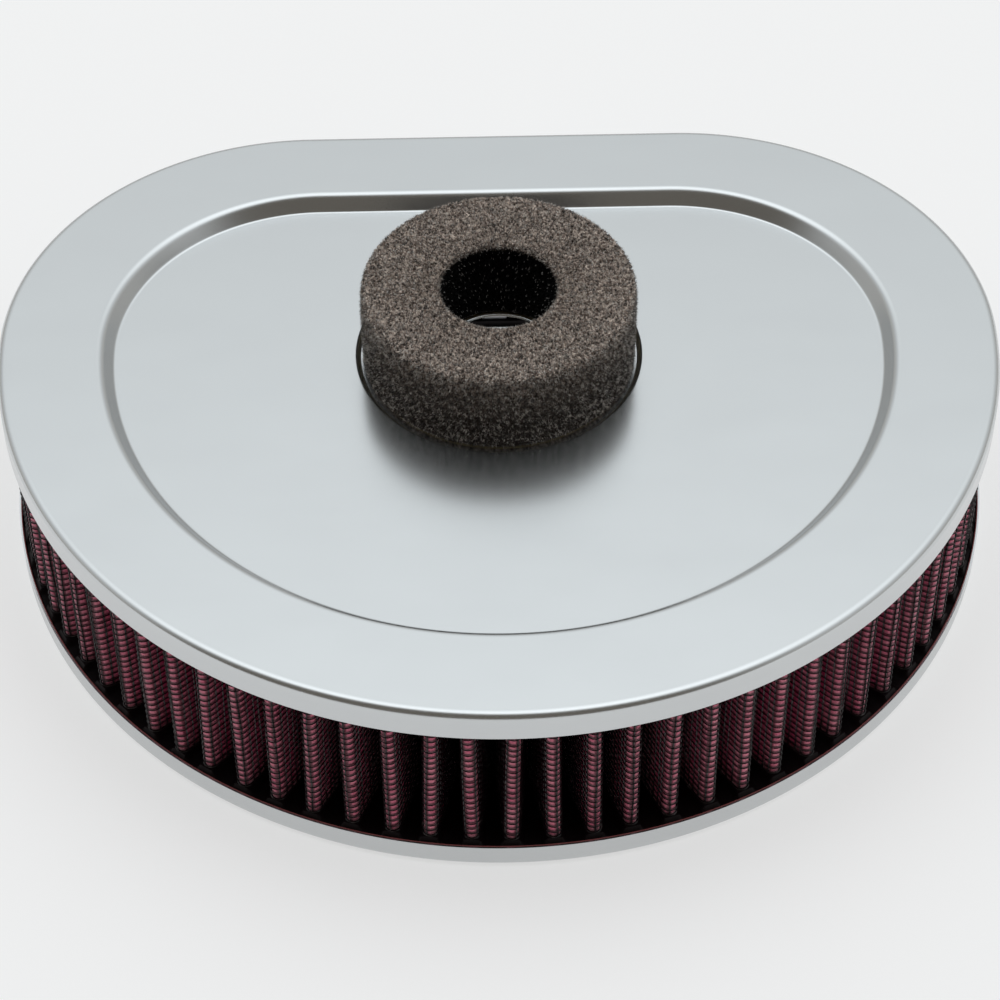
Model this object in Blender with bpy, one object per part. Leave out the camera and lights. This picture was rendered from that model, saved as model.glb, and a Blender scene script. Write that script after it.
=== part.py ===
"""Closed-top air filter for a motorcycle: a pleated cotton band between a stamped steel top cover and
a stamped steel bottom plate, with a foam sealing ring on the cover. Lengths are written in millimetres
and turned into metres when a mesh is made. +Z is up, the straight side is the back (+Y), and the origin
is the centre of the base, on the face of the base gasket.
"""

import math

import bpy
import numpy as np

MM = 0.001

# Plan outline of both pressings: half a circle at the front, two quarter circles at the back corners,
# and a straight back between them. All offsets of it share the same arc centres.
HALF_WIDTH = 117.5
CORNER_RADIUS = 72.0
ARC_CENTRE_Y = (HALF_WIDTH - CORNER_RADIUS) / 2
BACK_HALF_LENGTH = HALF_WIDTH - CORNER_RADIUS
RING_POINTS = 72

# Sheet steel and the heights of the pressings.
SHEET = 0.6
COVER_TOP = 52.0
COVER_LIP_DEPTH = 7.3
PLATE_UNDERSIDE = 0.6
PLATE_LIP_HEIGHT = 6.0
COVER_BEND = 1.6
PLATE_BEND = 1.2

# Recessed panel of the cover, with its own outline, and the round seat pressed into it for the foam.
PANEL_HALF_WIDTH = 93.2
PANEL_CORNER_RADIUS = 50.7
PANEL_CENTRE_Y = ARC_CENTRE_Y - 1.0
PANEL_DEPTH = 3.5
PANEL_WALL_RUN = 2.6
SEAT_CENTRE_Y = ARC_CENTRE_Y - 3.1
SEAT_RADIUS = 33.5
SEAT_DEPTH = 1.2
SEAT_WALL_RUN = 0.8
HOLE_RADIUS = 13.0
HOLE_RIM_DEPTH = 0.9

# Bottom plate: a shallow channel under the pack holds the gasket, and an inner lip closes the pack.
CHANNEL_START = 4.5
CHANNEL_STEP = 1.5
CHANNEL_RISE = 1.5
INNER_LIP_INSET = 21.7
INNER_LIP_HEIGHT = 4.0

# Pleated pack: insets are measured from the outline, and the layers keep a small gap between them.
PLEATS = 75
CREST_INSET = 2.25
TROUGH_INSET = 20.1
CREST_HALF_FLAT = 1.3
SEAM_HALF_GAP = 1.35
SEAM_STRAIGHT_FROM = 13.5
SCREEN_THICKNESS = 0.3
GAUZE_PLIES = 4
PLY_THICKNESS = 0.15
PLY_GAP = 0.12
GAP = 0.3

# Potting, gasket, foam ring and its adhesive.
POTTING_THICKNESS = 2.0
POTTING_OUTER_INSET = 1.0
POTTING_INNER_INSET = 21.0
GASKET_THICKNESS = 1.8
GASKET_OUTER_INSET = 6.9
GASKET_INNER_INSET = 18.9
FOAM_RADIUS = 31.7
FOAM_BORE_RADIUS = 13.6
FOAM_TOP = 69.2
ADHESIVE_THICKNESS = 0.3
ADHESIVE_MARGIN = 1.0
FOAM_POINTS = 60

# Seam clip: a folded strip over the two ends of the pleated band.
CLIP_WALL = 0.5
CLIP_DEPTH_FROM = 15.0

PLY_STEP = PLY_THICKNESS + PLY_GAP
OUTER_PLY_OFFSET = (GAUZE_PLIES - 1) / 2 * PLY_STEP
SCREEN_OFFSET = OUTER_PLY_OFFSET + PLY_THICKNESS / 2 + PLY_GAP + SCREEN_THICKNESS / 2
PANEL_TOP = COVER_TOP - PANEL_DEPTH
SEAT_TOP = PANEL_TOP - SEAT_DEPTH
CHANNEL_UNDERSIDE = PLATE_UNDERSIDE + CHANNEL_RISE
CHANNEL_TOP = CHANNEL_UNDERSIDE + SHEET
BOTTOM_POTTING_BASE = CHANNEL_TOP + GAP
TOP_POTTING_BASE = COVER_TOP - SHEET - GAP - POTTING_THICKNESS
PACK_BOTTOM = BOTTOM_POTTING_BASE + POTTING_THICKNESS + GAP
PACK_TOP = TOP_POTTING_BASE - GAP
ADHESIVE_BASE = SEAT_TOP + GAP
FOAM_BASE = ADHESIVE_BASE + ADHESIVE_THICKNESS + GAP


def clear_scene():
    """Removes the startup objects."""
    for old in list(bpy.data.objects):
        bpy.data.objects.remove(old, do_unlink=True)


def make_material(name, colour, roughness, metallic=0.0):
    """A Principled material of one colour."""
    material = bpy.data.materials.new(name)
    material.use_nodes = True
    shader = material.node_tree.nodes["Principled BSDF"]
    shader.inputs["Base Color"].default_value = (*colour, 1.0)
    shader.inputs["Roughness"].default_value = roughness
    shader.inputs["Metallic"].default_value = metallic
    return material


def make_object(name, points, faces, material):
    """Puts points in millimetres and faces into an object, shaded smooth up to its sharp edges."""
    mesh = bpy.data.meshes.new(name)
    mesh.from_pydata((np.asarray(points) * MM).tolist(), [], faces)
    mesh.materials.append(material)
    mesh.shade_smooth()
    mesh.set_sharp_from_angle(angle=math.radians(30))
    part = bpy.data.objects.new(name, mesh)
    bpy.context.scene.collection.objects.link(part)
    return part


def outline_ring(half_width, corner_radius, centre_y, count=RING_POINTS):
    """Points of a D outline where rays from the plan centre meet it, anticlockwise from +X.

    The front is a half circle of half_width round (0, centre_y), the corners are quarter circles, and
    the back is straight. With both radii equal it is a full circle.
    """
    points = []
    for step in range(count):
        angle = 2 * math.pi * step / count
        ray = np.array([math.cos(angle), math.sin(angle)])
        start = np.array([0.0, ARC_CENTRE_Y - centre_y])
        side = math.copysign(half_width - corner_radius, ray[0])
        point = ray_to_circle(start, ray, np.zeros(2), half_width)
        if point[1] > 0:
            point = ray_to_circle(start, ray, np.array([side, 0.0]), corner_radius)
            if abs(point[0]) < abs(side):
                point = start + ray * (corner_radius - start[1]) / ray[1]
        points.append((point[0], point[1] + centre_y))
    return np.array(points)


def ray_to_circle(start, ray, centre, radius):
    """Where a ray of unit length that starts inside a circle leaves it."""
    offset = start - centre
    along = -offset @ ray
    return start + ray * (along + math.sqrt(along**2 - offset @ offset + radius**2))


def inset_ring(inset):
    """The plan outline moved inwards."""
    return outline_ring(HALF_WIDTH - inset, CORNER_RADIUS - inset, ARC_CENTRE_Y)


def panel_ring(inset):
    """The outline of the recessed panel moved inwards."""
    return outline_ring(PANEL_HALF_WIDTH - inset, PANEL_CORNER_RADIUS - inset, PANEL_CENTRE_Y)


def seat_ring(radius, count=RING_POINTS):
    """A circle round the foam's centre."""
    return outline_ring(radius, radius, SEAT_CENTRE_Y, count)


def loft(rings, closed):
    """Points and faces of a surface through (ring, height) pairs. closed joins the last to the first."""
    count = len(rings[0][0])
    points = np.vstack([np.column_stack([ring, np.full(count, height)]) for ring, height in rings])
    faces = []
    for row in range(len(rings) if closed else len(rings) - 1):
        low = row * count
        high = (row + 1) % len(rings) * count
        for column in range(count):
            after = (column + 1) % count
            faces.append((low + column, low + after, high + after, high + column))
    return points, faces


def make_pressing(name, rings, material):
    """A stamped sheet: the lofted outer face, thickened inwards."""
    part = make_object(name, *loft(rings, closed=False), material)
    wall = part.modifiers.new("sheet thickness", "SOLIDIFY")
    wall.thickness = SHEET * MM
    wall.offset = -1.0
    wall.use_even_offset = True
    return part


def make_flat_ring(name, outer, inner, low, high, material):
    """A flat solid ring between two outlines of the same count of points."""
    rings = [(outer, low), (outer, high), (inner, high), (inner, low)]
    return make_object(name, *loft(rings, closed=True), material)


def outline_frame(along):
    """Point on the outline and outward normal at arc lengths from the middle of the back, clockwise."""
    corner_end = BACK_HALF_LENGTH + CORNER_RADIUS * math.pi / 2
    front_end = corner_end + HALF_WIDTH * math.pi
    total = outline_length()
    heading = (
        np.clip((along - BACK_HALF_LENGTH) / CORNER_RADIUS, 0, math.pi / 2)
        + np.clip((along - corner_end) / HALF_WIDTH, 0, math.pi)
        + np.clip((along - front_end) / CORNER_RADIUS, 0, math.pi / 2)
    )
    normal = np.stack([np.sin(heading), np.cos(heading)], axis=1)
    centre_x = np.clip(along, 0, BACK_HALF_LENGTH) * (along < corner_end)
    centre_x += np.clip(along - total, -BACK_HALF_LENGTH, 0) * (along > front_end)
    radius = np.where((along > corner_end) & (along < front_end), HALF_WIDTH, CORNER_RADIUS)
    centre = np.stack([centre_x, np.full(len(along), ARC_CENTRE_Y)], axis=1)
    return centre + normal * radius[:, None], normal


def outline_length():
    """Length round the plan outline."""
    return 2 * BACK_HALF_LENGTH + math.pi * (CORNER_RADIUS + HALF_WIDTH)


def pleat_path():
    """Middle line of the pleated band as (length along the outline, inset), from end to end."""
    pitch = outline_length() / PLEATS
    path = [(SEAM_HALF_GAP, TROUGH_INSET), (SEAM_HALF_GAP, SEAM_STRAIGHT_FROM)]
    for pleat in range(PLEATS):
        if pleat:
            path.append((pleat * pitch + CREST_HALF_FLAT, TROUGH_INSET))
        crest = (pleat + 0.5) * pitch
        path.append((crest - CREST_HALF_FLAT, CREST_INSET))
        path.append((crest + CREST_HALF_FLAT, CREST_INSET))
        if pleat < PLEATS - 1:
            path.append(((pleat + 1) * pitch - CREST_HALF_FLAT, TROUGH_INSET))
    end = outline_length() - SEAM_HALF_GAP
    path += [(end, SEAM_STRAIGHT_FROM), (end, TROUGH_INSET)]
    return np.array(path)


def offset_path(path, distance):
    """An open path moved sideways, towards smaller insets on a crest, with mitred corners."""
    steps = np.diff(path, axis=0)
    steps /= np.linalg.norm(steps, axis=1)[:, None]
    sides = np.stack([steps[:, 1], -steps[:, 0]], axis=1)
    before = np.vstack([sides[:1], sides])
    after = np.vstack([sides, sides[-1:]])
    mitre = before + after
    mitre /= (mitre * before).sum(axis=1)[:, None]
    return path + mitre * distance


def make_pleated_layer(name, middle, thickness, material):
    """One layer of the pack: the pleat path offset to both faces of the layer and extruded upwards."""
    path = pleat_path()
    outer = offset_path(path, middle + thickness / 2)
    inner = offset_path(path, middle - thickness / 2)
    strip = np.vstack([outer, inner])
    base, normal = outline_frame(strip[:, 0])
    plan = base - normal * strip[:, 1:]
    count = len(path)
    points = np.vstack([np.column_stack([plan, np.full(2 * count, z)]) for z in (PACK_BOTTOM, PACK_TOP)])
    top = 2 * count
    faces = [(0, count, top + count, top), (count - 1, top + count - 1, top + top - 1, top - 1)]
    for i in range(count - 1):
        faces.append((i, top + i, top + i + 1, i + 1))
        faces.append((count + i, count + i + 1, top + count + i + 1, top + count + i))
        faces.append((i, i + 1, count + i + 1, count + i))
        faces.append((top + i, top + count + i, top + count + i + 1, top + i + 1))
    return make_object(name, points, faces, material)


def make_seam_clip(material):
    """A U-section strip folded over both ends of the band, at the middle of the back, clean side."""
    back_y = ARC_CENTRE_Y + CORNER_RADIUS
    band_half = SCREEN_OFFSET + SCREEN_THICKNESS / 2
    inner = SEAM_HALF_GAP + band_half + GAP
    outer = inner + CLIP_WALL
    mouth = back_y - CLIP_DEPTH_FROM
    web = back_y - TROUGH_INSET - GAP
    section = [
        (-outer, mouth),
        (-inner, mouth),
        (-inner, web),
        (inner, web),
        (inner, mouth),
        (outer, mouth),
        (outer, web - CLIP_WALL),
        (-outer, web - CLIP_WALL),
    ]
    count = len(section)
    section.reverse()
    points = [(x, y, z) for z in (PACK_BOTTOM, PACK_TOP) for x, y in section]
    faces = [tuple(reversed(range(count))), tuple(range(count, 2 * count))]
    for i in range(count):
        after = (i + 1) % count
        faces.append((i, after, count + after, count + i))
    return make_object("seam_clip", points, faces, material)


def make_top_cover(material):
    """Turned-down lip, flat flange, sunken panel, round foam seat and a centre hole."""
    lip_bottom = COVER_TOP - COVER_LIP_DEPTH
    half_bend = COVER_BEND * (1 - math.sqrt(0.5))
    rings = [
        (inset_ring(0), lip_bottom),
        (inset_ring(0), COVER_TOP - COVER_BEND),
        (inset_ring(half_bend), COVER_TOP - half_bend),
        (inset_ring(COVER_BEND), COVER_TOP),
        (panel_ring(0), COVER_TOP),
        (panel_ring(PANEL_WALL_RUN), PANEL_TOP),
        (seat_ring(SEAT_RADIUS), PANEL_TOP),
        (seat_ring(SEAT_RADIUS - SEAT_WALL_RUN), SEAT_TOP),
        (seat_ring(HOLE_RADIUS + HOLE_RIM_DEPTH), SEAT_TOP),
        (seat_ring(HOLE_RADIUS), SEAT_TOP - HOLE_RIM_DEPTH),
    ]
    return make_pressing("top_cover", rings, material)


def make_bottom_plate(material):
    """Turned-up outer lip, flat rim, raised channel under the pack and a turned-up inner lip.

    The rings run from the inner lip outwards, so that the outer face of the sheet looks down.
    """
    lip_top = PLATE_UNDERSIDE + PLATE_LIP_HEIGHT
    half_bend = PLATE_BEND * (1 - math.sqrt(0.5))
    inner_bend_inset = INNER_LIP_INSET + SHEET
    rings = [
        (inset_ring(inner_bend_inset), CHANNEL_UNDERSIDE + INNER_LIP_HEIGHT),
        (inset_ring(inner_bend_inset), CHANNEL_UNDERSIDE + PLATE_BEND),
        (inset_ring(inner_bend_inset - PLATE_BEND), CHANNEL_UNDERSIDE),
        (inset_ring(CHANNEL_START + CHANNEL_STEP), CHANNEL_UNDERSIDE),
        (inset_ring(CHANNEL_START), PLATE_UNDERSIDE),
        (inset_ring(PLATE_BEND), PLATE_UNDERSIDE),
        (inset_ring(half_bend), PLATE_UNDERSIDE + half_bend),
        (inset_ring(0), PLATE_UNDERSIDE + PLATE_BEND),
        (inset_ring(0), lip_top),
    ]
    return make_pressing("bottom_plate", rings, material)


def make_foam_ring(material):
    """A plain sleeve of open-cell foam standing in the seat."""
    outer = seat_ring(FOAM_RADIUS, FOAM_POINTS)
    bore = seat_ring(FOAM_BORE_RADIUS, FOAM_POINTS)
    return make_flat_ring("foam_ring", outer, bore, FOAM_BASE, FOAM_TOP, material)


def make_foam_adhesive(material):
    """The thin ring of contact adhesive under the foam."""
    outer = seat_ring(FOAM_RADIUS - ADHESIVE_MARGIN, FOAM_POINTS)
    bore = seat_ring(FOAM_BORE_RADIUS + ADHESIVE_MARGIN, FOAM_POINTS)
    top = ADHESIVE_BASE + ADHESIVE_THICKNESS
    return make_flat_ring("foam_adhesive", outer, bore, ADHESIVE_BASE, top, material)


def make_potting(name, base, material):
    """The cast ring that bonds one end of the pleated pack to its pressing."""
    outer = inset_ring(POTTING_OUTER_INSET)
    inner = inset_ring(POTTING_INNER_INSET)
    return make_flat_ring(name, outer, inner, base, base + POTTING_THICKNESS, material)


clear_scene()

steel = make_material("zinc_plated_steel", (0.56, 0.58, 0.59), 0.32, 1.0)
wire = make_material("screen_wire", (0.16, 0.13, 0.14), 0.45, 0.8)
gauze = make_material("oiled_cotton", (0.32, 0.05, 0.08), 0.75)
foam = make_material("grey_foam", (0.06, 0.055, 0.05), 0.95)
adhesive = make_material("contact_adhesive", (0.55, 0.48, 0.32), 0.5)
potting = make_material("dark_potting", (0.03, 0.02, 0.025), 0.5)
gasket = make_material("black_gasket_rubber", (0.02, 0.02, 0.02), 0.8)
clip_steel = make_material("clip_steel", (0.5, 0.5, 0.5), 0.4, 1.0)

make_top_cover(steel)
make_bottom_plate(steel)
make_pleated_layer("outer_wire_screen", SCREEN_OFFSET, SCREEN_THICKNESS, wire)
for ply in range(GAUZE_PLIES):
    middle = OUTER_PLY_OFFSET - ply * PLY_STEP
    make_pleated_layer(f"cotton_gauze_ply_{ply + 1}", middle, PLY_THICKNESS, gauze)
make_pleated_layer("inner_wire_screen", -SCREEN_OFFSET, SCREEN_THICKNESS, wire)
make_seam_clip(clip_steel)
make_potting("top_potting", TOP_POTTING_BASE, potting)
make_potting("bottom_potting", BOTTOM_POTTING_BASE, potting)
make_flat_ring(
    "base_gasket",
    inset_ring(GASKET_OUTER_INSET),
    inset_ring(GASKET_INNER_INSET),
    0.0,
    GASKET_THICKNESS,
    gasket,
)
make_foam_ring(foam)
make_foam_adhesive(adhesive)
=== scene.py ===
"""Closed-top air filter, finished: two pressings of satin zinc-plated steel, a pleated band of red oiled
cotton between dark wire screens, and a grey foam ring. Lengths are in millimetres and turned into metres
when a mesh is made. +Z is up and the straight side of the outline is the back (+Y).
"""

import math

import bpy
import numpy as np
from mathutils import Matrix, Vector


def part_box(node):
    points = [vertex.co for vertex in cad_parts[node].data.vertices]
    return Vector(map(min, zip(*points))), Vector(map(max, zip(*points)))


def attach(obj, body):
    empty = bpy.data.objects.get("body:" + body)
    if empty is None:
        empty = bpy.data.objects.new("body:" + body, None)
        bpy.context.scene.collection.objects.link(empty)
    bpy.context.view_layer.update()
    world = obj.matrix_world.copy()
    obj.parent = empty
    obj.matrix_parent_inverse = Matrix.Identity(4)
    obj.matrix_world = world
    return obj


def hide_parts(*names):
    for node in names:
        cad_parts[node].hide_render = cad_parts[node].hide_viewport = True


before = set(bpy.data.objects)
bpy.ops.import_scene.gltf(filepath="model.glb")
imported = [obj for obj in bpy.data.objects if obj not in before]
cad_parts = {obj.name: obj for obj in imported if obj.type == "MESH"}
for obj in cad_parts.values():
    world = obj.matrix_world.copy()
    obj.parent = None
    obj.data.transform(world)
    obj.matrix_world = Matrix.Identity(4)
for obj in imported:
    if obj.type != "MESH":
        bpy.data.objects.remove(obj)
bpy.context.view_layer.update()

# Base gasket: a flat ring of black cellular rubber, die cut and glued under the channel of the bottom
# plate. It seals the filter on its housing.

MM = 0.001
SIDES = 480
GASKET_WIDTH = 12.0
GASKET_ROUND = 0.35
GASKET_BLACK = (0.012, 0.012, 0.013)

turn = np.linspace(0, 2 * np.pi, SIDES, endpoint=False)
cover_low, cover_high = (np.array(corner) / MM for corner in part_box("top_cover"))
half_width = cover_high[0]
corner_radius = cover_high[1] - cover_low[1] - half_width
centre_y = cover_high[1] - corner_radius
OUTLINE = (half_width, corner_radius, centre_y)


def outline_points(widths, corners, middle_y):
    """Plan points of D outlines, one row for each width and corner radius.

    A D is half a circle of radius width in front of middle_y, two quarter circles of the corner radius
    behind it, and a straight back. Each column lies on one ray from the plan centre: the ray leaves a
    circle at along + sqrt(along squared - distance squared + radius squared), and it meets the straight
    back at depth / sine.
    """
    width = np.asarray(widths, float)[:, None]
    corner = np.asarray(corners, float)[:, None]
    ray_x, ray_y = np.cos(turn), np.sin(turn)
    start_y = centre_y - middle_y
    side = np.sign(ray_x) * (width - corner)

    def reach(circle_x, radius):
        along = circle_x * ray_x - start_y * ray_y
        return along + np.sqrt(along**2 - circle_x**2 - start_y**2 + radius**2)

    length = reach(0.0, width)
    behind = start_y + length * ray_y > 0
    length = np.where(behind, reach(side, corner), length)
    straight = behind & (np.abs(length * ray_x) < np.abs(side))
    length = np.where(straight, (corner - start_y) / np.maximum(ray_y, 0.1), length)
    return np.stack([length * ray_x, centre_y + length * ray_y], axis=-1)


def rounded(corners, radii, hold=0.25, steps=8):
    """Points and directions of a profile (inset, height) whose inner corners are arcs.

    On an arc that starts at A in direction u and turns by t towards n, a point at angle a is
    A + radius (sin a u + (1 - cos a) n), and the profile heads along cos a u + sin a n. A point is added
    at the distance hold before and after each arc, so that shading stays flat between arcs.
    """
    corners = np.array(corners, float)
    radii = np.array(radii, float)[:, None, None]
    heading = np.diff(corners, axis=0)
    heading /= np.linalg.norm(heading, axis=1)[:, None]
    before, after = heading[:-1, None], heading[1:, None]
    cross = before[..., 0] * after[..., 1] - before[..., 1] * after[..., 0]
    turned = np.arctan2(cross, (before * after).sum(axis=2))[..., None]
    across = np.stack([-before[..., 1], before[..., 0]], axis=-1) * np.sign(turned)
    angle = np.abs(turned) * np.linspace(0, 1, steps + 1)[None, :, None]
    start = corners[1:-1, None] - before * radii * np.tan(np.abs(turned) / 2)
    arc = start + radii * (np.sin(angle) * before + (1 - np.cos(angle)) * across)
    arc = np.concatenate([arc[:, :1] - before * hold, arc, arc[:, -1:] + after * hold], axis=1)
    way = np.cos(angle) * before + np.sin(angle) * across
    way = np.concatenate([way[:, :1], way, way[:, -1:]], axis=1)
    points = np.vstack([corners[:1], arc.reshape(-1, 2), corners[-1:]])
    ways = np.vstack([heading[:1], way.reshape(-1, 2), heading[-1:]])
    return points, ways


def ring_rows(profile, outline):
    """A profile (inset, height) carried round an outline, as rows of points."""
    width, corner, middle_y = outline
    plan = outline_points(width - profile[:, 0], corner - profile[:, 0], middle_y)
    height = np.broadcast_to(profile[:, 1][:, None, None], (*plan.shape[:2], 1))
    return np.concatenate([plan, height], axis=-1)


def closed_index(index, rows, columns):
    """Repeats the first row or column of a grid of vertex numbers after the last, where asked."""
    if rows:
        index = np.concatenate([index, index[:1]], axis=0)
    if columns:
        index = np.concatenate([index, index[:, :1]], axis=1)
    return index


def surface(name, grid, loop_rows=True, loop_columns=True, flat=None):
    """A mesh on a grid of points in millimetres, with a quad between each four neighbours.

    flat is a grid of places on the flat sheet that the piece is made from, kept as its UV map, in metres.
    An open run of columns round closed rows is capped at both ends.
    """
    index = np.arange(grid.shape[0] * grid.shape[1]).reshape(grid.shape[:2])
    wrap = closed_index(index, loop_rows, loop_columns)
    quads = np.stack([wrap[:-1, :-1], wrap[:-1, 1:], wrap[1:, 1:], wrap[1:, :-1]], axis=-1)
    faces = quads.reshape(-1, 4).tolist()
    if loop_rows and not loop_columns:
        faces += [index[:, 0].tolist(), index[::-1, -1].tolist()]
    return mesh_object(name, grid.reshape(-1, 3), faces, None if flat is None else flat.reshape(-1, 2))


def mesh_object(name, points, faces, flat=None):
    """Puts points in millimetres and faces into an object, shaded smooth up to its sharp edges."""
    mesh = bpy.data.meshes.new(name)
    mesh.from_pydata((points * MM).tolist(), [], faces)
    if flat is not None:
        corner_vertex = np.empty(len(mesh.loops), np.int32)
        mesh.loops.foreach_get("vertex_index", corner_vertex)
        layer = mesh.uv_layers.new(name="sheet")
        layer.uv.foreach_set("vector", (flat[corner_vertex] * MM).astype(np.float32).ravel())
    mesh.shade_smooth()
    mesh.set_sharp_from_angle(angle=math.radians(40))
    piece = bpy.data.objects.new(name, mesh)
    bpy.context.scene.collection.objects.link(piece)
    return piece


def finish_piece(piece, material, slot, *nodes):
    """Gives a piece its material and stands it for its CAD nodes on the one body. Its slot argument is not
    used.
    """
    piece.data.materials.append(material)
    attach(piece, "root")
    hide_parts(*nodes)


def node(tree, kind, inputs=(), **settings):
    """Adds a node, sets its properties, and feeds its inputs with values or other nodes' sockets."""
    made = tree.nodes.new(kind)
    for key, value in settings.items():
        setattr(made, key, value)
    for key, value in dict(inputs).items():
        if isinstance(value, bpy.types.NodeSocket):
            tree.links.new(value, made.inputs[key])
        else:
            made.inputs[key].default_value = value
    return made


def principled(name, colour, roughness, metallic=0.0, **constants):
    """A material with its constants set on the Principled shader, and its node tree and shader."""
    material = bpy.data.materials.new(name)
    material.use_nodes = True
    shader = material.node_tree.nodes["Principled BSDF"]
    shader.inputs["Base Color"].default_value = (*colour, 1.0)
    shader.inputs["Roughness"].default_value = roughness
    shader.inputs["Metallic"].default_value = metallic
    for key, value in constants.items():
        shader.inputs[key.replace("_", " ").title().replace("Ior", "IOR")].default_value = value
    return material, material.node_tree, shader


def shader_group(name, inputs, outputs):
    """A node group with named number inputs and outputs, and its input and output nodes."""
    tree = bpy.data.node_groups.new(name, "ShaderNodeTree")
    for key, value in inputs.items():
        socket = tree.interface.new_socket(key, in_out="INPUT", socket_type="NodeSocketFloat")
        socket.default_value = value
    for key in outputs:
        tree.interface.new_socket(key, in_out="OUTPUT", socket_type="NodeSocketFloat")
    return tree, tree.nodes.new("NodeGroupInput"), tree.nodes.new("NodeGroupOutput")


def place(tree, group, **values):
    """Puts a shader group into a material with its own values."""
    made = tree.nodes.new("ShaderNodeGroup")
    made.node_tree = group
    for key, value in values.items():
        made.inputs[key.title()].default_value = value
    return made


def mottle_group():
    """Two sizes of noise in one: broad cloudy patches and a fine grain, both from 0 to 1."""
    tree, given, result = shader_group("mottle", {"Patch": 60.0, "Grain": 1500.0}, ("Patches", "Grains"))
    place_in = node(tree, "ShaderNodeTexCoord").outputs["Object"]
    for size, detail, key in (("Patch", 3.0, "Patches"), ("Grain", 2.0, "Grains")):
        cloud = node(tree, "ShaderNodeTexNoise", {"Vector": place_in, "Detail": detail})
        tree.links.new(given.outputs[size], cloud.inputs["Scale"])
        tree.links.new(cloud.outputs["Fac"], result.inputs[key])
    return tree


def tint(tree, mask, low, high):
    """A colour between low and high, by a mask."""
    ends = {0: mask, 6: (*low, 1.0), 7: (*high, 1.0)}
    return node(tree, "ShaderNodeMix", ends, data_type="RGBA").outputs[2]


def relief(tree, shader, height, distance, under=None):
    """Bump on a shader's normal, from a height mask. distance is its depth in metres."""
    bump = node(tree, "ShaderNodeBump", {"Height": height, "Distance": distance})
    if under is not None:
        tree.links.new(under.outputs["Normal"], bump.inputs["Normal"])
    tree.links.new(bump.outputs["Normal"], shader.inputs["Normal"])
    return bump


mottle = mottle_group()

rubber, tree, shader = principled("gasket_rubber", GASKET_BLACK, 0.75)
speckle = place(tree, mottle, patch=90.0, grain=2600.0)
grey = tint(tree, speckle.outputs["Patches"], GASKET_BLACK, (0.035, 0.034, 0.034))
tree.links.new(grey, shader.inputs["Base Color"])
relief(tree, shader, speckle.outputs["Grains"], 0.00006)

gasket_low, gasket_high = (np.array(corner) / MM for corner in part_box("base_gasket"))
GASKET_OUTER = half_width - gasket_high[0]
GASKET_INNER = GASKET_OUTER + GASKET_WIDTH
gasket_corners = [
    (GASKET_OUTER, 1.0),
    (GASKET_OUTER, gasket_high[2]),
    (GASKET_INNER, gasket_high[2]),
    (GASKET_INNER, gasket_low[2]),
    (GASKET_OUTER, gasket_low[2]),
    (GASKET_OUTER, 0.9),
]
gasket_profile, _ = rounded(gasket_corners, [GASKET_ROUND] * 4, steps=4)
gasket = surface("gasket_ring", ring_rows(gasket_profile, OUTLINE))
finish_piece(gasket, rubber, "gasket_rubber", "base_gasket")

# Bottom plate: a ring stamped from 0.6 mm steel sheet, satin brushed and zinc plated before stamping.
# Its outer lip is turned up round the pack, a raised channel takes the gasket, and an inner lip is turned
# up on the clean side.

SHEET = 0.6
ZINC = (0.625, 0.642, 0.648)
ZINC_DULL = (0.585, 0.6, 0.607)


def ramp(tree, mask, start, end, low=0.0, high=1.0, **settings):
    """A number that goes from low to high while a mask goes from start to end, and stays there."""
    ends = {"Value": mask, "From Min": start, "From Max": end, "To Min": low, "To Max": high}
    return node(tree, "ShaderNodeMapRange", ends, **settings).outputs[0]


def spread(tree, mask, low, high):
    """A number between low and high, by a mask."""
    return ramp(tree, mask, 0.0, 1.0, low, high)


def sheet_place(tree):
    """A piece's place on the flat sheet that it is made from, in metres."""
    return node(tree, "ShaderNodeUVMap", uv_map="sheet").outputs["UV"]


def rolled_group():
    """Rolling and brushing marks of the flat sheet, read from its UV map: long streaks along X and a slow
    unevenness, as heights from 0 to 1, and a patchy dullness.
    """
    tree, _, result = shader_group("rolled_sheet", {}, ("Streaks", "Waves", "Dull"))
    flat = sheet_place(tree)
    for key, stretch, detail in (
        ("Streaks", (22.0, 1000.0, 1.0), 2.0),
        ("Waves", (26.0, 38.0, 1.0), 1.0),
        ("Dull", (30.0, 55.0, 1.0), 4.0),
    ):
        laid = node(tree, "ShaderNodeMapping", {"Vector": flat, "Scale": stretch})
        cloud = node(tree, "ShaderNodeTexNoise", {"Vector": laid.outputs[0], "Scale": 1.0, "Detail": detail})
        tree.links.new(cloud.outputs["Fac"], result.inputs[key])
    return tree


rolled = rolled_group()


def zinc_steel(name, rough_low, rough_high, colour, dull):
    """Satin zinc-plated sheet: metal, blurred more across the brushing than along it."""
    material, tree, shader = principled(
        name, colour, rough_low, 1.0, anisotropic=0.55, anisotropic_rotation=0.25
    )
    marks = place(tree, rolled)
    tree.links.new(tint(tree, marks.outputs["Dull"], colour, dull), shader.inputs["Base Color"])
    tree.links.new(spread(tree, marks.outputs["Dull"], rough_low, rough_high), shader.inputs["Roughness"])
    grain = node(tree, "ShaderNodeTangent", direction_type="UV_MAP", uv_map="sheet")
    tree.links.new(grain.outputs[0], shader.inputs["Tangent"])
    waves = relief(tree, shader, marks.outputs["Waves"], 0.00008)
    relief(tree, shader, marks.outputs["Streaks"], 0.000002, under=waves)
    return material


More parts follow.
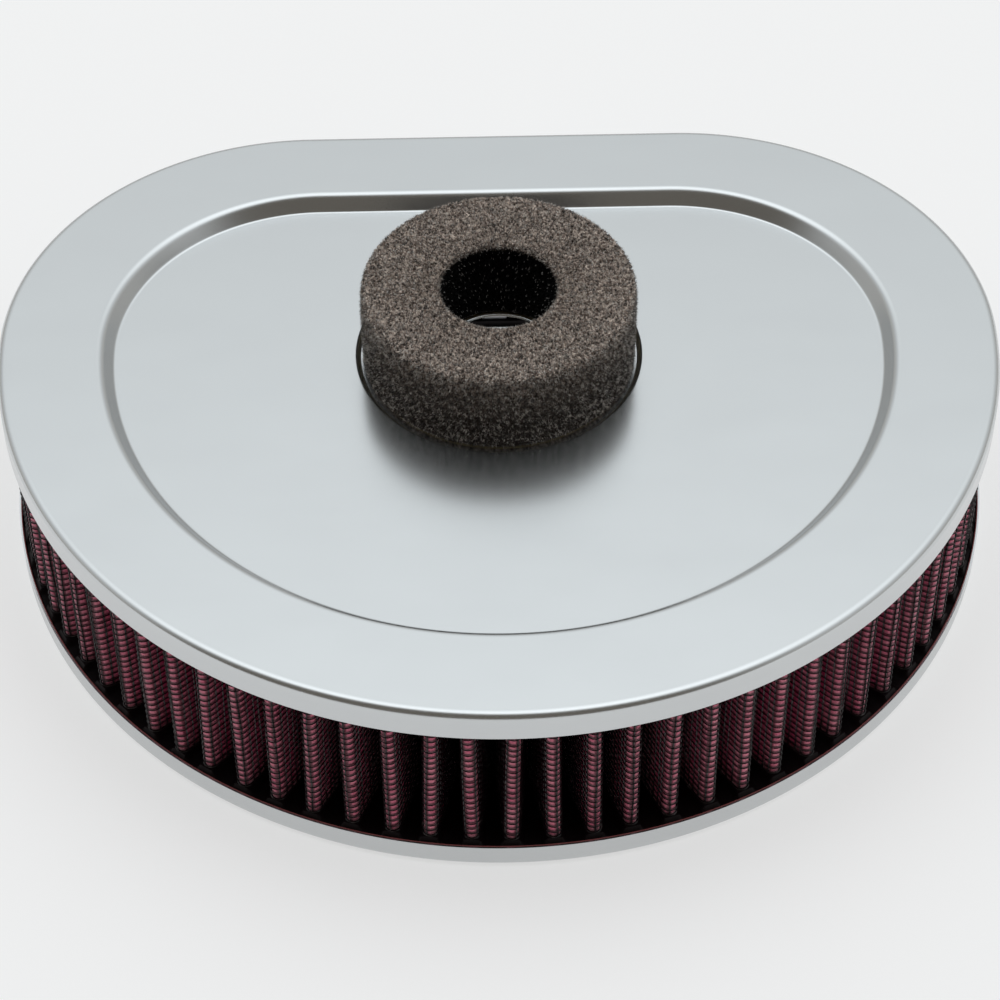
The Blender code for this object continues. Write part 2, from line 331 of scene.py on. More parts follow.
def pressing_rows(corners, radii, outline, flat_end, inward=1):
    """The face and the back of one stretch of a stamped sheet, with its places on the flat blank.

    The face is the rounded profile carried round the outline, and the back lies one sheet thickness
    behind it along the profile's normal. The blank's inset is measured along the profile from the flat
    end, so that the bends unroll. inward is -1 for a profile that runs from the inside to the outside.
    """
    points, ways = rounded(corners, radii)
    back = points + SHEET * np.stack([ways[:, 1], -ways[:, 0]], axis=1)
    steps = np.linalg.norm(np.diff(points, axis=0), axis=1)
    run = np.concatenate([[0.0], np.cumsum(steps)])
    unrolled = points[flat_end, 0] + inward * (run - run[flat_end])
    width, corner, middle_y = outline
    blank = outline_points(width - unrolled, corner - unrolled, middle_y)
    return ring_rows(points, outline), ring_rows(back, outline), blank


def pressing(name, stretches):
    """A stamped sheet from its stretches: the faces in order and then the backs in reverse."""
    faces, backs, blanks = (np.vstack(parts) for parts in zip(*stretches))
    grid = np.vstack([faces, backs[::-1]])
    return surface(name, grid, flat=np.vstack([blanks, blanks[::-1]]))


steel = zinc_steel("zinc_plated_steel", 0.22, 0.27, ZINC, ZINC_DULL)

plate_low, plate_high = (np.array(corner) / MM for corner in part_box("bottom_plate"))
PLATE_UNDER = plate_low[2]
PLATE_LIP_TOP = plate_high[2]
CHANNEL_UNDER = PLATE_UNDER + 1.5
CHANNEL_EDGE = 6.0
CHANNEL_FOOT = 4.5
INNER_LIP = 22.3
INNER_LIP_TOP = CHANNEL_UNDER + 4.0
plate_corners = [
    (INNER_LIP, INNER_LIP_TOP),
    (INNER_LIP, CHANNEL_UNDER),
    (CHANNEL_EDGE, CHANNEL_UNDER),
    (CHANNEL_FOOT, PLATE_UNDER),
    (0.0, PLATE_UNDER),
    (0.0, PLATE_LIP_TOP),
]
plate_stretch = pressing_rows(plate_corners, [1.2, 0.9, 0.9, 1.2], OUTLINE, 0, inward=-1)
plate = pressing("bottom_plate_pressing", [plate_stretch])
finish_piece(plate, steel, "plated_steel", "bottom_plate")

# Pleated band, its path: 75 pleats follow the outline, with round folds at the crests and troughs and
# slightly splayed legs between them. Everything in the pack is laid out along this line.

PLEATS = 75
CREST_INSET = 2.25
TROUGH_INSET = 20.1
FOLD_RADIUS = 1.0
SEAM_HALF_GAP = 1.35
SEAM_STRAIGHTENS = 8.0
SEAM_STRAIGHT_RUN = 6.0
PACK_BOTTOM, PACK_TOP = (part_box("outer_wire_screen")[end][2] / MM for end in (0, 1))

back_half = half_width - corner_radius
corner_end = back_half + corner_radius * np.pi / 2
front_end = corner_end + half_width * np.pi
outline_length = front_end + corner_end
pitch = outline_length / PLEATS

between_folds = TROUGH_INSET - CREST_INSET - 2 * FOLD_RADIUS
slant = np.hypot(pitch / 2, between_folds)
splay = np.arctan2(pitch / 2, between_folds) - np.arcsin(2 * FOLD_RADIUS / slant)
quarter_fold = FOLD_RADIUS * (np.pi / 2 - splay)
leg = np.sqrt(slant**2 - (2 * FOLD_RADIUS) ** 2)
pleat_length = 4 * quarter_fold + 2 * leg
band_length = PLEATS * pleat_length
fold_ends = np.cumsum([0, quarter_fold, leg, 2 * quarter_fold, leg, quarter_fold])
fold_turns = (np.pi / 2 - splay) * np.array([0, -1, -1, 1, 1, 0])
fold_run = np.linspace(0, pleat_length, 4001)
fold_heading = np.interp(fold_run, fold_ends, fold_turns)
fold_step = fold_run[1]
fold_along = np.cumsum(np.cos(fold_heading)) * fold_step
fold_inset = TROUGH_INSET + np.cumsum(np.sin(fold_heading)) * fold_step

uneven = np.random.default_rng(7)
crest_shift = uneven.uniform(-0.3, 0.3, PLEATS)
crest_lean = uneven.uniform(-0.45, 0.45, PLEATS)
crest_drop = uneven.uniform(0.0, 0.45, PLEATS)


def outline_frame(along):
    """Point and outward normal of the outline at lengths from the middle of the back, clockwise.

    The heading grows evenly on each arc, and each point is its arc's centre plus its normal times the
    arc's radius.
    """
    heading = (
        np.clip((along - back_half) / corner_radius, 0, np.pi / 2)
        + np.clip((along - corner_end) / half_width, 0, np.pi)
        + np.clip((along - front_end) / corner_radius, 0, np.pi / 2)
    )
    normal = np.stack([np.sin(heading), np.cos(heading)], axis=-1)
    middle_x = np.clip(along, 0, back_half) * (along < corner_end)
    middle_x = middle_x + np.clip(along - outline_length, -back_half, 0) * (along > front_end)
    radius = np.where((along > corner_end) & (along < front_end), half_width, corner_radius)
    middle = np.stack([middle_x, np.full_like(middle_x, centre_y)], axis=-1)
    return middle + normal * radius[..., None], normal


def inset_points(along, inset, height):
    """Points at lengths along the outline, insets from it, and heights."""
    edge, normal = outline_frame(along)
    return np.concatenate([edge - normal * inset[..., None], height[..., None]], axis=-1)


def band_points(length, height, offset):
    """Points of the pleated band at lengths along its middle line, heights, and offsets from the line.

    Within a pleat the line's heading is level on the legs and grows evenly round the folds, and its place
    is the running sum of the heading's cosine along the outline and sine across it. Crests are shifted,
    leaned and dropped a little, each in its own way, by the share of the depth that they stand out.
    """
    length, height, offset = np.broadcast_arrays(length, height, offset)
    pleat = np.clip((length / pleat_length).astype(int), 0, PLEATS - 1)
    within = length - pleat * pleat_length
    heading = np.interp(within, fold_run, fold_heading)
    along = pleat * pitch + np.interp(within, fold_run, fold_along)
    inset = np.interp(within, fold_run, fold_inset)
    share = (TROUGH_INSET - inset) / (TROUGH_INSET - CREST_INSET)
    level = (height - PACK_BOTTOM) / (PACK_TOP - PACK_BOTTOM) * 2 - 1
    along = along + share * (crest_shift[pleat] + crest_lean[pleat] * level)
    inset = inset + share * crest_drop[pleat]
    straight = np.clip((inset - SEAM_STRAIGHTENS) / SEAM_STRAIGHT_RUN, 0, 1)
    first = (along < pitch / 2) * straight
    last = (along > outline_length - pitch / 2) * straight
    along = along + first * (SEAM_HALF_GAP - along)
    along = along + last * (outline_length - SEAM_HALF_GAP - along)
    along = along + offset * np.sin(heading)
    inset = inset - offset * np.cos(heading)
    return inset_points(along, inset, height)


def band_stations(crest, leg_steps, trough):
    """Lengths along the band: even steps on each fold and leg, the same in every pleat."""
    counts = (trough, leg_steps, 2 * crest, leg_steps, trough)
    stretches = [
        np.linspace(start, end, count, endpoint=False)
        for start, end, count in zip(fold_ends[:-1], fold_ends[1:], counts)
    ]
    one = np.concatenate(stretches)
    every = (one + pleat_length * np.arange(PLEATS)[:, None]).ravel()
    ends = quarter_fold, band_length - quarter_fold
    return np.concatenate([[ends[0]], every[(every > ends[0]) & (every < ends[1])], [ends[1]]])


# Bottom potting: dark red-black urethane cast into the bottom plate. It stands nearly level with the lip,
# creeps up the pleats a little, and leaves a thin red film on the lip's cut edge.

POTTING_DROP = 0.9
POTTING_LEVEL = PLATE_LIP_TOP - POTTING_DROP
POTTING_CREEP = 1.9
CREEP_FADES = 0.55
WET_MARGIN = 0.9
POTTING_INNER = 21.62
PLEAT_COLUMNS = 16
POTTING_DARK = (0.004, 0.0015, 0.002)
FILM_RED = (0.3, 0.09, 0.09)


def sheet_axis(tree, axis):
    """One coordinate of a piece's place on its flat sheet."""
    return node(tree, "ShaderNodeSeparateXYZ", {0: sheet_place(tree)}).outputs[axis]


potting_material, tree, shader = principled("potting_compound", POTTING_DARK, 0.5, specular_ior_level=0.12)
speckle = place(tree, mottle, patch=120.0, grain=1800.0)
film = ramp(tree, sheet_axis(tree, 1), 0.00075, 0.00055)
tree.links.new(tint(tree, film, POTTING_DARK, FILM_RED), shader.inputs["Base Color"])
tree.links.new(spread(tree, speckle.outputs["Patches"], 0.35, 0.6), shader.inputs["Roughness"])
relief(tree, shader, speckle.outputs["Patches"], 0.0002)


def potting_height(along, inset):
    """Height of the cast surface: its level plus a creep that falls off with distance from the pleats."""
    phase = np.mod(along, pitch) - pitch / 2
    pleat = np.clip((along / pitch).astype(int), 0, PLEATS - 1)
    standing = np.clip((TROUGH_INSET - inset) / (TROUGH_INSET - CREST_INSET), 0, 1)
    phase = phase - standing * (crest_shift[pleat] - crest_lean[pleat])
    half = FOLD_RADIUS + WET_MARGIN + np.maximum(inset - CREST_INSET - FOLD_RADIUS, 0) * np.tan(splay)
    beside = np.maximum(np.abs(phase) - half, 0)
    outside = np.maximum(CREST_INSET - WET_MARGIN - inset, 0)
    return POTTING_LEVEL + POTTING_CREEP * np.exp(-np.hypot(beside, outside) / CREEP_FADES)


along = np.linspace(0, outline_length, PLEATS * PLEAT_COLUMNS, endpoint=False)[None, :]
film_insets = [0.4, 0.42, 0.46, 0.52, 0.6, 0.68, 0.8, 1.0]
insets = np.array([*film_insets, *np.linspace(1.45, 21.3, 40), POTTING_INNER])[:, None]
heights = potting_height(*np.broadcast_arrays(along, insets))
film_rise = np.clip((0.95 - insets) / 0.35, 0, 1)
heights = heights + (PLATE_LIP_TOP + 0.1 - heights) * film_rise
heights[0] = PLATE_LIP_TOP + 0.02
under_profile = np.array(
    [
        (POTTING_INNER, CHANNEL_UNDER + 0.8),
        (0.68, CHANNEL_UNDER + 0.8),
        (0.68, PLATE_LIP_TOP - 0.1),
        (0.5, PLATE_LIP_TOP + 0.02),
    ]
)
under_heights = np.repeat(under_profile[:, 1:], along.shape[1], axis=1)
insets = np.vstack([insets, under_profile[:, :1]])
heights = np.vstack([heights, under_heights])
grid = inset_points(*np.broadcast_arrays(along, insets, heights))[::-1]
flat = np.stack(np.broadcast_arrays(along, insets[::-1]), axis=-1)
bottom_cast = surface("bottom_potting_cast", grid, flat=flat)
finish_piece(bottom_cast, potting_material, "potting", "bottom_potting")

# Wire screens: two layers of woven mesh, 14 wires to the inch, dark coated, pleated with the cotton
# between them. They hold the pleats apart. The inner one is plainer, because the pack hides it.

WIRE_PITCH = 1.815
FIRST_CROSS_WIRE = PACK_BOTTOM + 0.6
FIRST_UPRIGHT = quarter_fold + 0.3
WIRE_RADIUS = 0.165
SCREEN_OFFSET = 0.75
WEAVE_STEP = 0.07
WIRE_DARK = (0.006, 0.004, 0.005)
WIRE_BARE = (0.1, 0.085, 0.085)

wire_material, tree, shader = principled("coated_wire", WIRE_DARK, 0.28, 0.0, specular_ior_level=0.35)
speckle = place(tree, mottle, patch=420.0, grain=2600.0)
worn = ramp(tree, speckle.outputs["Patches"], 0.58, 0.75)
tree.links.new(tint(tree, worn, WIRE_DARK, WIRE_BARE), shader.inputs["Base Color"])
relief(tree, shader, speckle.outputs["Grains"], 0.00002)


def wires(name, centres, across_a, across_b, sides, node_name):
    """Tubes round centre lines, as one mesh.

    centres has the shape (wires, points, 3). Each ring is centre + radius (cos a across_a + sin a
    across_b), with the two directions across the wire given at every point, and both ends are capped.
    """
    angle = np.linspace(0, 2 * np.pi, sides, endpoint=False)[:, None]
    ring = np.cos(angle) * across_a[..., None, :] + np.sin(angle) * across_b[..., None, :]
    points = centres[..., None, :] + WIRE_RADIUS * ring
    index = np.arange(points[..., 0].size).reshape(points.shape[:3])
    beside = np.roll(index, -1, axis=2)
    tubes = np.stack([index[:, :-1], beside[:, :-1], beside[:, 1:], index[:, 1:]], axis=-1)
    caps = np.concatenate([index[:, 0, ::-1], index[:, -1]])
    piece = mesh_object(name, points.reshape(-1, 3), tubes.reshape(-1, 4).tolist() + caps.tolist())
    finish_piece(piece, wire_material, "screen_wire", node_name)
    return piece


def screen(name, offset, crest, trough, sides, upright_rows, node_name):
    """One wire screen: cross wires that follow the pleats, and uprights just inside them."""
    rows = np.arange(FIRST_CROSS_WIRE, PACK_TOP - 0.3, WIRE_PITCH)[:, None]
    stations = band_stations(crest, 1, trough)[None, :]
    sway = uneven.uniform(0, 2 * np.pi, (len(rows), 1))
    height = rows + 0.12 * np.sin(stations * 0.11 + sway) + 0.08 * np.sin(stations * 0.37 + 2 * sway)
    centres = band_points(stations, height, offset + math.copysign(WEAVE_STEP, offset))
    ahead = np.gradient(centres, axis=1)
    ahead /= np.linalg.norm(ahead, axis=-1)[..., None]
    upward = np.broadcast_to([0.0, 0.0, 1.0], ahead.shape)
    outward = np.cross(upward, ahead)
    wires(f"{name}_cross_wires", centres, upward, outward, sides, node_name)

    stations = np.arange(FIRST_UPRIGHT, band_length - quarter_fold, WIRE_PITCH)[:, None]
    stations = stations + uneven.uniform(-0.2, 0.2, stations.shape)
    height = np.linspace(PACK_BOTTOM, PACK_TOP, upright_rows)[None, :]
    drift = 0.15 * np.sin(height * 0.16 + uneven.uniform(0, 2 * np.pi, stations.shape))
    side_step = offset - math.copysign(WEAVE_STEP, offset)
    centres = band_points(stations + drift, height, side_step)
    beside = band_points(stations + drift + 0.2, height, side_step) - centres
    beside /= np.linalg.norm(beside, axis=-1)[..., None]
    upward = np.broadcast_to([0.0, 0.0, 1.0], beside.shape)
    wires(f"{name}_uprights", centres, beside, np.cross(upward, beside), sides, node_name)


screen("inner_screen", -SCREEN_OFFSET, 2, 3, 3, 2, "inner_wire_screen")
screen("outer_screen", SCREEN_OFFSET, 4, 2, 4, 5, "outer_wire_screen")

# Cotton gauze: four plies of loosely woven surgical-type gauze, oiled red, pleated as one. Each ply is a
# strip as tall as the pack and as long as the pleat line.

PLIES = 4
PLY_STEP = 0.27
PLY_HALF = 0.075
THREADS_PER_METRE = 2600.0
CREST_LIT_DEPTH = 5.0
CREST_FADES = 3.4
SUNK_FROM = 6.0
SUNK_RUN = 8.0
SUNK_MOST = 0.85
GAUZE_DEEP = (0.46, 0.008, 0.095)
# Painted light: the crests, which face the light, are coloured paler than the red deeper in the pleats.
GAUZE_PAINTED_LIT = (0.7, 0.205, 0.285)
# A near-black colour, both for painted shade deep in the pleats and along the wires, and for the potting that
# wicks up the cloth.
GAUZE_SOAK_AND_SHADE = (0.02, 0.002, 0.005)

gauze_material, tree, shader = principled(
    "oiled_cotton", GAUZE_PAINTED_LIT, 0.5, 0.0, sheen_weight=0.35, sheen_roughness=0.4, specular_ior_level=0.4
)
shader.inputs["Sheen Tint"].default_value = (1.0, 0.72, 0.76, 1.0)


def laid_over(tree, colour, mask, over):
    """A colour socket with a plain colour laid over it, by a mask."""
    ends = {0: mask, 6: colour, 7: (*over, 1.0)}
    return node(tree, "ShaderNodeMix", ends, data_type="RGBA").outputs[2]


def keep_mask(piece, key, mask):
    """Keeps a mask on a piece's points, which its material reads by name."""
    layer = piece.data.attributes.new(key, "FLOAT", "POINT")
    layer.data.foreach_set("value", mask.astype(np.float32).ravel())


def read_mask(tree, key):
    """A mask that keep_mask has put on the piece."""
    return node(tree, "ShaderNodeAttribute", attribute_name=key).outputs["Fac"]


def weave_group():
    """Plain weave read from the cloth's UV map.

    Warp and weft are two sines; the height is the larger of them where their threads cross over, and the
    gaps between threads are low.
    """
    tree, given, result = shader_group("plain_weave", {"Threads": 1000.0}, ("Threads", "Gaps"))
    flat = sheet_place(tree)
    loose = node(tree, "ShaderNodeTexNoise", {"Vector": flat, "Scale": 500.0, "Detail": 2.0})
    pull = node(tree, "ShaderNodeVectorMath", {0: loose.outputs["Color"]}, operation="SCALE")
    pull.inputs["Scale"].default_value = 0.0006
    moved = node(tree, "ShaderNodeVectorMath", {0: flat, 1: pull.outputs[0]}, operation="ADD")
    count = node(tree, "ShaderNodeVectorMath", {0: moved.outputs[0]}, operation="SCALE")
    tree.links.new(given.outputs["Threads"], count.inputs["Scale"])
    split = node(tree, "ShaderNodeSeparateXYZ", {0: count.outputs[0]})
    waves = []
    for axis in (0, 1):
        angle = node(tree, "ShaderNodeMath", {0: split.outputs[axis], 1: math.pi}, operation="MULTIPLY")
        sine = node(tree, "ShaderNodeMath", {0: angle.outputs[0]}, operation="SINE")
        waves.append(node(tree, "ShaderNodeMath", {0: sine.outputs[0]}, operation="ABSOLUTE").outputs[0])
    high = node(tree, "ShaderNodeMath", {0: waves[0], 1: waves[1]}, operation="MAXIMUM")
    low = node(tree, "ShaderNodeMath", {0: waves[0], 1: waves[1]}, operation="MULTIPLY")
    tree.links.new(high.outputs[0], result.inputs["Threads"])
    tree.links.new(low.outputs[0], result.inputs["Gaps"])
    return tree


weave = weave_group()
cloth = place(tree, weave, threads=THREADS_PER_METRE)
oil = place(tree, mottle, patch=170.0, grain=1400.0)


def pressed_lines(tree, axis, start):
    """A mask that is 1 along the lines where the screen's wires press into the cloth, a wire pitch apart."""
    moved = node(tree, "ShaderNodeMath", {0: sheet_axis(tree, axis), 1: start * MM}, operation="SUBTRACT")
    count = node(tree, "ShaderNodeMath", {0: moved.outputs[0], 1: WIRE_PITCH * MM}, operation="DIVIDE")
    distance = node(tree, "ShaderNodeMath", {0: count.outputs[0], 1: 0.5}, operation="PINGPONG")
    return ramp(tree, distance.outputs[0], 0.06, 0.3, 1.0, 0.0, interpolation_type="SMOOTHSTEP")


across_press = pressed_lines(tree, 1, FIRST_CROSS_WIRE)
upright_press = pressed_lines(tree, 0, FIRST_UPRIGHT)
pressed = node(tree, "ShaderNodeMath", {0: across_press, 1: upright_press}, operation="MAXIMUM").outputs[0]
crest_mask = read_mask(tree, "crest")
# Painted light on the crests: paler where the crest mask and the oil patches are both high.
painted_lit_share = node(tree, "ShaderNodeMath", {0: crest_mask, 1: oil.outputs["Patches"]}, operation="MULTIPLY")
gauze_colour = tint(tree, ramp(tree, painted_lit_share.outputs[0], 0.1, 0.62), GAUZE_DEEP, GAUZE_PAINTED_LIT)
wicked = ramp(tree, sheet_axis(tree, 1), 0.0075, 0.0105, 0.9, 0.0)
press_share = spread(tree, crest_mask, 0.1, 0.8)
# Dark lines along the wires: painted shade of the wires on the cloth, with the oil pressed in under them,
# strongest on the crests.
wire_shade_and_oil = node(tree, "ShaderNodeMath", {0: pressed, 1: press_share}, operation="MULTIPLY")
# Laid over in near black: painted shade along the wires, the potting wicked up near the bottom, and painted
# shade deep in the pleats.
for mask in (wire_shade_and_oil.outputs[0], wicked, read_mask(tree, "sunk")):
    gauze_colour = laid_over(tree, gauze_colour, mask, GAUZE_SOAK_AND_SHADE)
tree.links.new(gauze_colour, shader.inputs["Base Color"])
tree.links.new(spread(tree, oil.outputs["Patches"], 0.35, 0.65), shader.inputs["Roughness"])
threads = relief(tree, shader, cloth.outputs["Threads"], 0.00005)
raised = node(tree, "ShaderNodeMath", {0: 1.0, 1: pressed}, operation="SUBTRACT")
relief(tree, shader, raised.outputs[0], 0.0002, under=threads)


def ply_grid(middle, rows, stations):
    """A closed strip: the outer face from top to bottom, then the inner face back up, and its flat places."""
    outer = band_points(stations, rows, middle + PLY_HALF)
    inner = band_points(stations, rows[::-1], middle - PLY_HALF)
    lengths = np.broadcast_to(stations, outer.shape[:2])
    flat = np.stack([np.vstack([lengths, lengths]), np.vstack([outer[..., 2], inner[..., 2]])], axis=-1)
    return np.vstack([outer, inner]), flat


for ply in range(PLIES):
    middle = ((PLIES - 1) / 2 - ply) * PLY_STEP
    rows = np.linspace(PACK_TOP, PACK_BOTTOM, 26 if ply == 0 else 3)[:, None]
    stations = (band_stations(6, 4, 3) if ply in (0, PLIES - 1) else band_stations(3, 1, 3))[None, :]
    grid, flat = ply_grid(middle, rows, stations)
    gauze = surface(f"gauze_ply_{ply + 1}", grid, loop_columns=False, flat=flat)
    inset = np.interp(np.mod(stations, pleat_length), fold_run, fold_inset)
    # crest: 1 at the crests and fading deeper in; it sets where the crests are painted as lit.
    crest = np.clip((CREST_INSET + CREST_LIT_DEPTH - inset) / CREST_FADES, 0, 1)
    # sunk: painted shade deep in the pleat gaps, darker with depth.
    sunk = np.clip((inset - SUNK_FROM) / SUNK_RUN, 0, SUNK_MOST)
    for key, mask in (("crest", crest), ("sunk", sunk)):
        keep_mask(gauze, key, np.broadcast_to(mask, flat.shape[:2]))
    finish_piece(gauze, gauze_material, "oiled_cotton", f"cotton_gauze_ply_{ply + 1}")

# Seam clip: a strip of galvanised steel folded over both ends of the band, at the middle of the back. It
# is the CAD piece, with a better finish.

clip_material, tree, shader = principled("clip_steel", (0.5, 0.5, 0.5), 0.35, 1.0)
speckle = place(tree, mottle, patch=260.0, grain=1500.0)
grey = tint(tree, speckle.outputs["Patches"], (0.42, 0.43, 0.44), (0.56, 0.57, 0.58))
tree.links.new(grey, shader.inputs["Base Color"])
tree.links.new(spread(tree, speckle.outputs["Grains"], 0.28, 0.5), shader.inputs["Roughness"])
relief(tree, shader, speckle.outputs["Grains"], 0.00001)
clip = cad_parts["seam_clip"]
clip.data.materials.clear()
clip.data.materials.append(clip_material)

# Top potting: the same compound, cast under the top cover. It is out of sight between the cover and the
# pack, so its face is plain, with rounded edges.

top_cast_low, top_cast_high = (np.array(corner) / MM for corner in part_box("top_potting"))
TOP_CAST_OUTER = half_width - top_cast_high[0]
TOP_CAST_INNER = 21.0
TOP_CAST_BOTTOM = top_cast_low[2] - 0.6
top_cast_middle = (top_cast_low[2] + top_cast_high[2]) / 2
top_cast_corners = [
    (TOP_CAST_OUTER, top_cast_middle + 0.05),
    (TOP_CAST_OUTER, top_cast_high[2]),
    (TOP_CAST_INNER, top_cast_high[2]),
    (TOP_CAST_INNER, TOP_CAST_BOTTOM),
    (TOP_CAST_OUTER, TOP_CAST_BOTTOM),
    (TOP_CAST_OUTER, top_cast_middle - 0.05),
]
top_cast_profile, _ = rounded(top_cast_corners, [0.5, 0.5, 0.8, 0.8], steps=5)
top_cast_rows = ring_rows(top_cast_profile, OUTLINE)
flat = np.stack(
    [np.broadcast_to(turn * half_width, top_cast_rows.shape[:2]), np.full(top_cast_rows.shape[:2], 10.0)],
    axis=-1,
)
top_cast = surface("top_potting_cast", top_cast_rows, flat=flat)
finish_piece(top_cast, potting_material, "potting", "top_potting")

# Top cover: one pressing of the same satin sheet. Its edge is turned down over the pack, a D-shaped panel
# is sunk into it, and a round seat for the foam is sunk into the panel round the screw hole.

COVER_TOP = cover_high[2]
COVER_LIP_DEPTH = 7.3
PANEL = (93.2, 50.7, centre_y - 1.0)
PANEL_DEPTH = 3.5
PANEL_TOP = COVER_TOP - PANEL_DEPTH
PANEL_WALL_RUN = 2.6
SEAT_RADIUS = 33.5
SEAT = (SEAT_RADIUS, SEAT_RADIUS, centre_y - 3.1)
SEAT_DEPTH = 1.2
SEAT_TOP = PANEL_TOP - SEAT_DEPTH
SEAT_WALL_RUN = 0.8
HOLE_RADIUS = 13.45
HOLE_RIM = 0.35

edge_stretch = pressing_rows(
    [(0.0, COVER_TOP - COVER_LIP_DEPTH), (0.0, COVER_TOP), (4.0, COVER_TOP)],
    [1.7],
    OUTLINE,
    -1,
)
panel_stretch = pressing_rows(
    [(-2.5, COVER_TOP), (0.0, COVER_TOP), (PANEL_WALL_RUN, PANEL_TOP), (PANEL_WALL_RUN + 2.0, PANEL_TOP)],
    [2.0, 0.75],
    PANEL,
    0,
)
seat_stretch = pressing_rows(
    [
        (-2.0, PANEL_TOP),
        (0.0, PANEL_TOP),
        (SEAT_WALL_RUN, SEAT_TOP),
        (SEAT_RADIUS - HOLE_RADIUS - HOLE_RIM, SEAT_TOP),
        (SEAT_RADIUS - HOLE_RADIUS, SEAT_TOP - HOLE_RIM),
    ],
    [0.7, 0.45, 0.3],
    SEAT,
    0,
)
cover = pressing("top_cover_pressing", [edge_stretch, panel_stretch, seat_stretch])
finish_piece(cover, steel, "plated_steel", "top_cover")

# Foam adhesive: a thin, amber, rubbery layer of contact cement under the foam ring. It is the CAD piece,
# with a better finish.

adhesive_material, tree, shader = principled("contact_cement", (0.5, 0.4, 0.22), 0.35)
speckle = place(tree, mottle, patch=200.0, grain=1200.0)
amber = tint(tree, speckle.outputs["Patches"], (0.34, 0.25, 0.12), (0.6, 0.5, 0.3))
tree.links.new(amber, shader.inputs["Base Color"])
relief(tree, shader, speckle.outputs["Patches"], 0.0001)
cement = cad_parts["foam_adhesive"]
cement.data.materials.clear()
cement.data.materials.append(adhesive_material)

# Foam ring: a sleeve of open-cell polyurethane foam, cut with a round die, so that its skin is a cut
# through cells: pits with thin struts between them. It stands in the seat and seals against the housing.

FOAM_POINTS = 840
FOAM_STEP = 0.24
FOAM_CELL = 0.7
FOAM_PIT = 0.5
FOAM_FUZZ = 0.6
FOAM_ROUND = 1.1
BORE_RADIUS = 13.6
START_HEIGHT = 9.0
STRUT_DULL = (0.19, 0.142, 0.118)
STRUT_PALE = (0.82, 0.7, 0.61)
# Painted highlight: a near-white colour for random glints on the struts.
STRUT_PAINTED_GLINT = (0.8, 0.78, 0.75)
# Painted shade: this dark colour goes into the cell pits and down the side of the foam, where shade falls.
FOAM_PAINTED_SHADE = (0.014, 0.01, 0.009)
# Painted shade for the inside of the bore.
BORE_PAINTED_SHADE = (0.0008, 0.0006, 0.0006)

foam_low, foam_high = (np.array(corner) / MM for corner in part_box("foam_ring"))
foam_radius = (foam_high[0] - foam_low[0]) / 2
foam_middle_y = (foam_high[1] + foam_low[1]) / 2
jitter = np.random.default_rng(11).random((48, 48, 48, 3))


def cell_walls(points, cell):
    """How deep in a cell each point lies: the second nearest cell centre's distance less the nearest's.

    Space is cut into cubes, and each holds one centre at a random place. The value is 0 on the wall
    between two cells, and near 1 at the middle of a cell.
    """
    scaled = points / cell
    cube = np.floor(scaled).astype(int)
    nearest = np.full(len(points), 9.0)
    second = np.full(len(points), 9.0)
    for step in np.ndindex(3, 3, 3):
        beside = cube + np.array(step) - 1
        wrapped = np.mod(beside, len(jitter))
        centre = beside + jitter[wrapped[:, 0], wrapped[:, 1], wrapped[:, 2]]
        distance = np.linalg.norm(scaled - centre, axis=1)
        second = np.minimum(second, np.maximum(nearest, distance))
        nearest = np.minimum(nearest, distance)
    return np.clip(second - nearest, 0, 1)


foam_corners = [
    (0.0, foam_low[2] + START_HEIGHT),
    (0.0, foam_high[2]),
    (foam_radius - BORE_RADIUS, foam_high[2]),
    (foam_radius - BORE_RADIUS, foam_low[2]),
    (0.0, foam_low[2]),
    (0.0, foam_low[2] + START_HEIGHT - FOAM_STEP),
]
foam_profile, foam_ways = rounded(foam_corners, [FOAM_ROUND, FOAM_ROUND, 0.5, 0.5], hold=0.05, steps=6)
steps = np.linalg.norm(np.diff(foam_profile, axis=0), axis=1)
run = np.concatenate([[0.0], np.cumsum(steps)])
even = np.arange(0, run[-1], FOAM_STEP)
radius = foam_radius - np.interp(even, run, foam_profile[:, 0])[:, None]
height = np.interp(even, run, foam_profile[:, 1])[:, None]
out_r = np.interp(even, run, foam_ways[:, 1])[:, None]
out_z = np.interp(even, run, foam_ways[:, 0])[:, None]
foam_turn = np.linspace(0, 2 * np.pi, FOAM_POINTS, endpoint=False)[None, :]
radial = np.stack([np.cos(foam_turn), np.sin(foam_turn), 0 * foam_turn], axis=-1)
skin = radial * radius[..., None] + np.array([0.0, foam_middle_y, 0.0])
skin[..., 2] = height
outward = radial * out_r[..., None]
outward[..., 2] = out_z
pit = cell_walls(skin.reshape(-1, 3), FOAM_CELL).reshape(skin.shape[:2])
fine = cell_walls(skin.reshape(-1, 3) + 500.0, FOAM_CELL * 0.6).reshape(skin.shape[:2])
ragged = np.random.default_rng(13).random(skin.shape[:2])
hidden = np.clip((height - foam_low[2]) / 0.6, 0, 1)
depth = (FOAM_PIT * np.clip(pit * 1.6, 0, 1) + 0.15 * fine + 0.15 - FOAM_FUZZ * ragged**3) * hidden
foam_grid = skin - outward * depth[..., None]
foam = surface("foam_sleeve", foam_grid)
below_top = foam_high[2] - height
